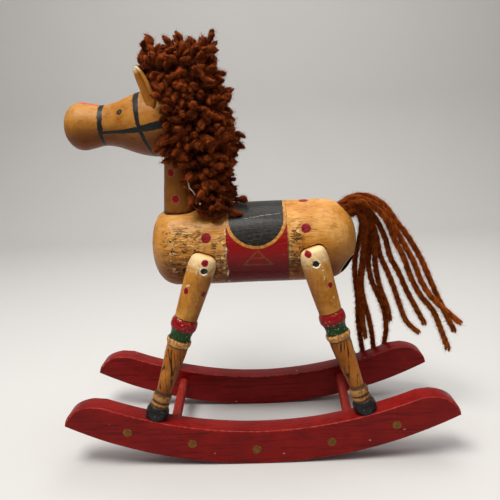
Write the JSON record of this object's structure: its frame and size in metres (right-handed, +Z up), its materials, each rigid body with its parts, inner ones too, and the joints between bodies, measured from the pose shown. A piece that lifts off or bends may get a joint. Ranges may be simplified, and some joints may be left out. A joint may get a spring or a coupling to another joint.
{
  "type": "rocking horse ornament",
  "caption": "Small painted wooden rocking horse: turned barrel, legs, neck and head on two curved rockers with crossbars, a yarn mane and a yarn tail.",
  "frame": {"origin": "on the floor, midway between the rockers' tips and midway between the rockers", "axes": "-X to the nose, -Y to the horse's left side, +Z up"},
  "size_m": [0.2543, 0.0953, 0.2548],
  "materials": {
    "rocker_paint": "semi-gloss dark red paint, worn pale at the edges, with gold dots on the outer faces",
    "crossbar_paint": "thin dull red paint, worn",
    "leg_wood": "ochre satin paint with crackle, black hooves, cream, green and red rings",
    "ochre_wood": "ochre satin paint with crackle, black saddle edged in gold, red girth, painted bridle",
    "nail": "dull, tarnished",
    "dowel": "bare wood",
    "yarn": "fuzzy rust-brown wool yarn",
    "backing": "dark woven tape"
  },
  "bodies": {
    "root": {"rocker_left": "rocker_paint", "rocker_right": "rocker_paint", "crossbar_front": "crossbar_paint", "crossbar_rear": "crossbar_paint", "leg_front_left": "leg_wood", "leg_front_right": "leg_wood", "leg_hind_left": "leg_wood", "leg_hind_right": "leg_wood", "hip_nail_front_left": "nail", "hip_nail_front_right": "nail", "hip_nail_hind_left": "nail", "hip_nail_hind_right": "nail", "hoof_dowel_front_left": "dowel", "hoof_dowel_front_right": "dowel", "hoof_dowel_hind_left": "dowel", "hoof_dowel_hind_right": "dowel", "body_barrel": "ochre_wood", "head": "ochre_wood", "neck": "ochre_wood", "neck_dowel": "dowel", "head_dowel": "dowel", "ear_left": "ochre_wood", "ear_right": "ochre_wood", "mane_backing": "backing", "mane_pile": "yarn", "tail_plug": "yarn", "tail_strand_01": "yarn", "tail_strand_02": "yarn", "tail_strand_03": "yarn", "tail_strand_04": "yarn", "tail_strand_05": "yarn", "tail_strand_06": "yarn", "tail_strand_07": "yarn", "tail_strand_08": "yarn", "tail_strand_09": "yarn", "tail_strand_10": "yarn"}
  },
  "joints": []
}
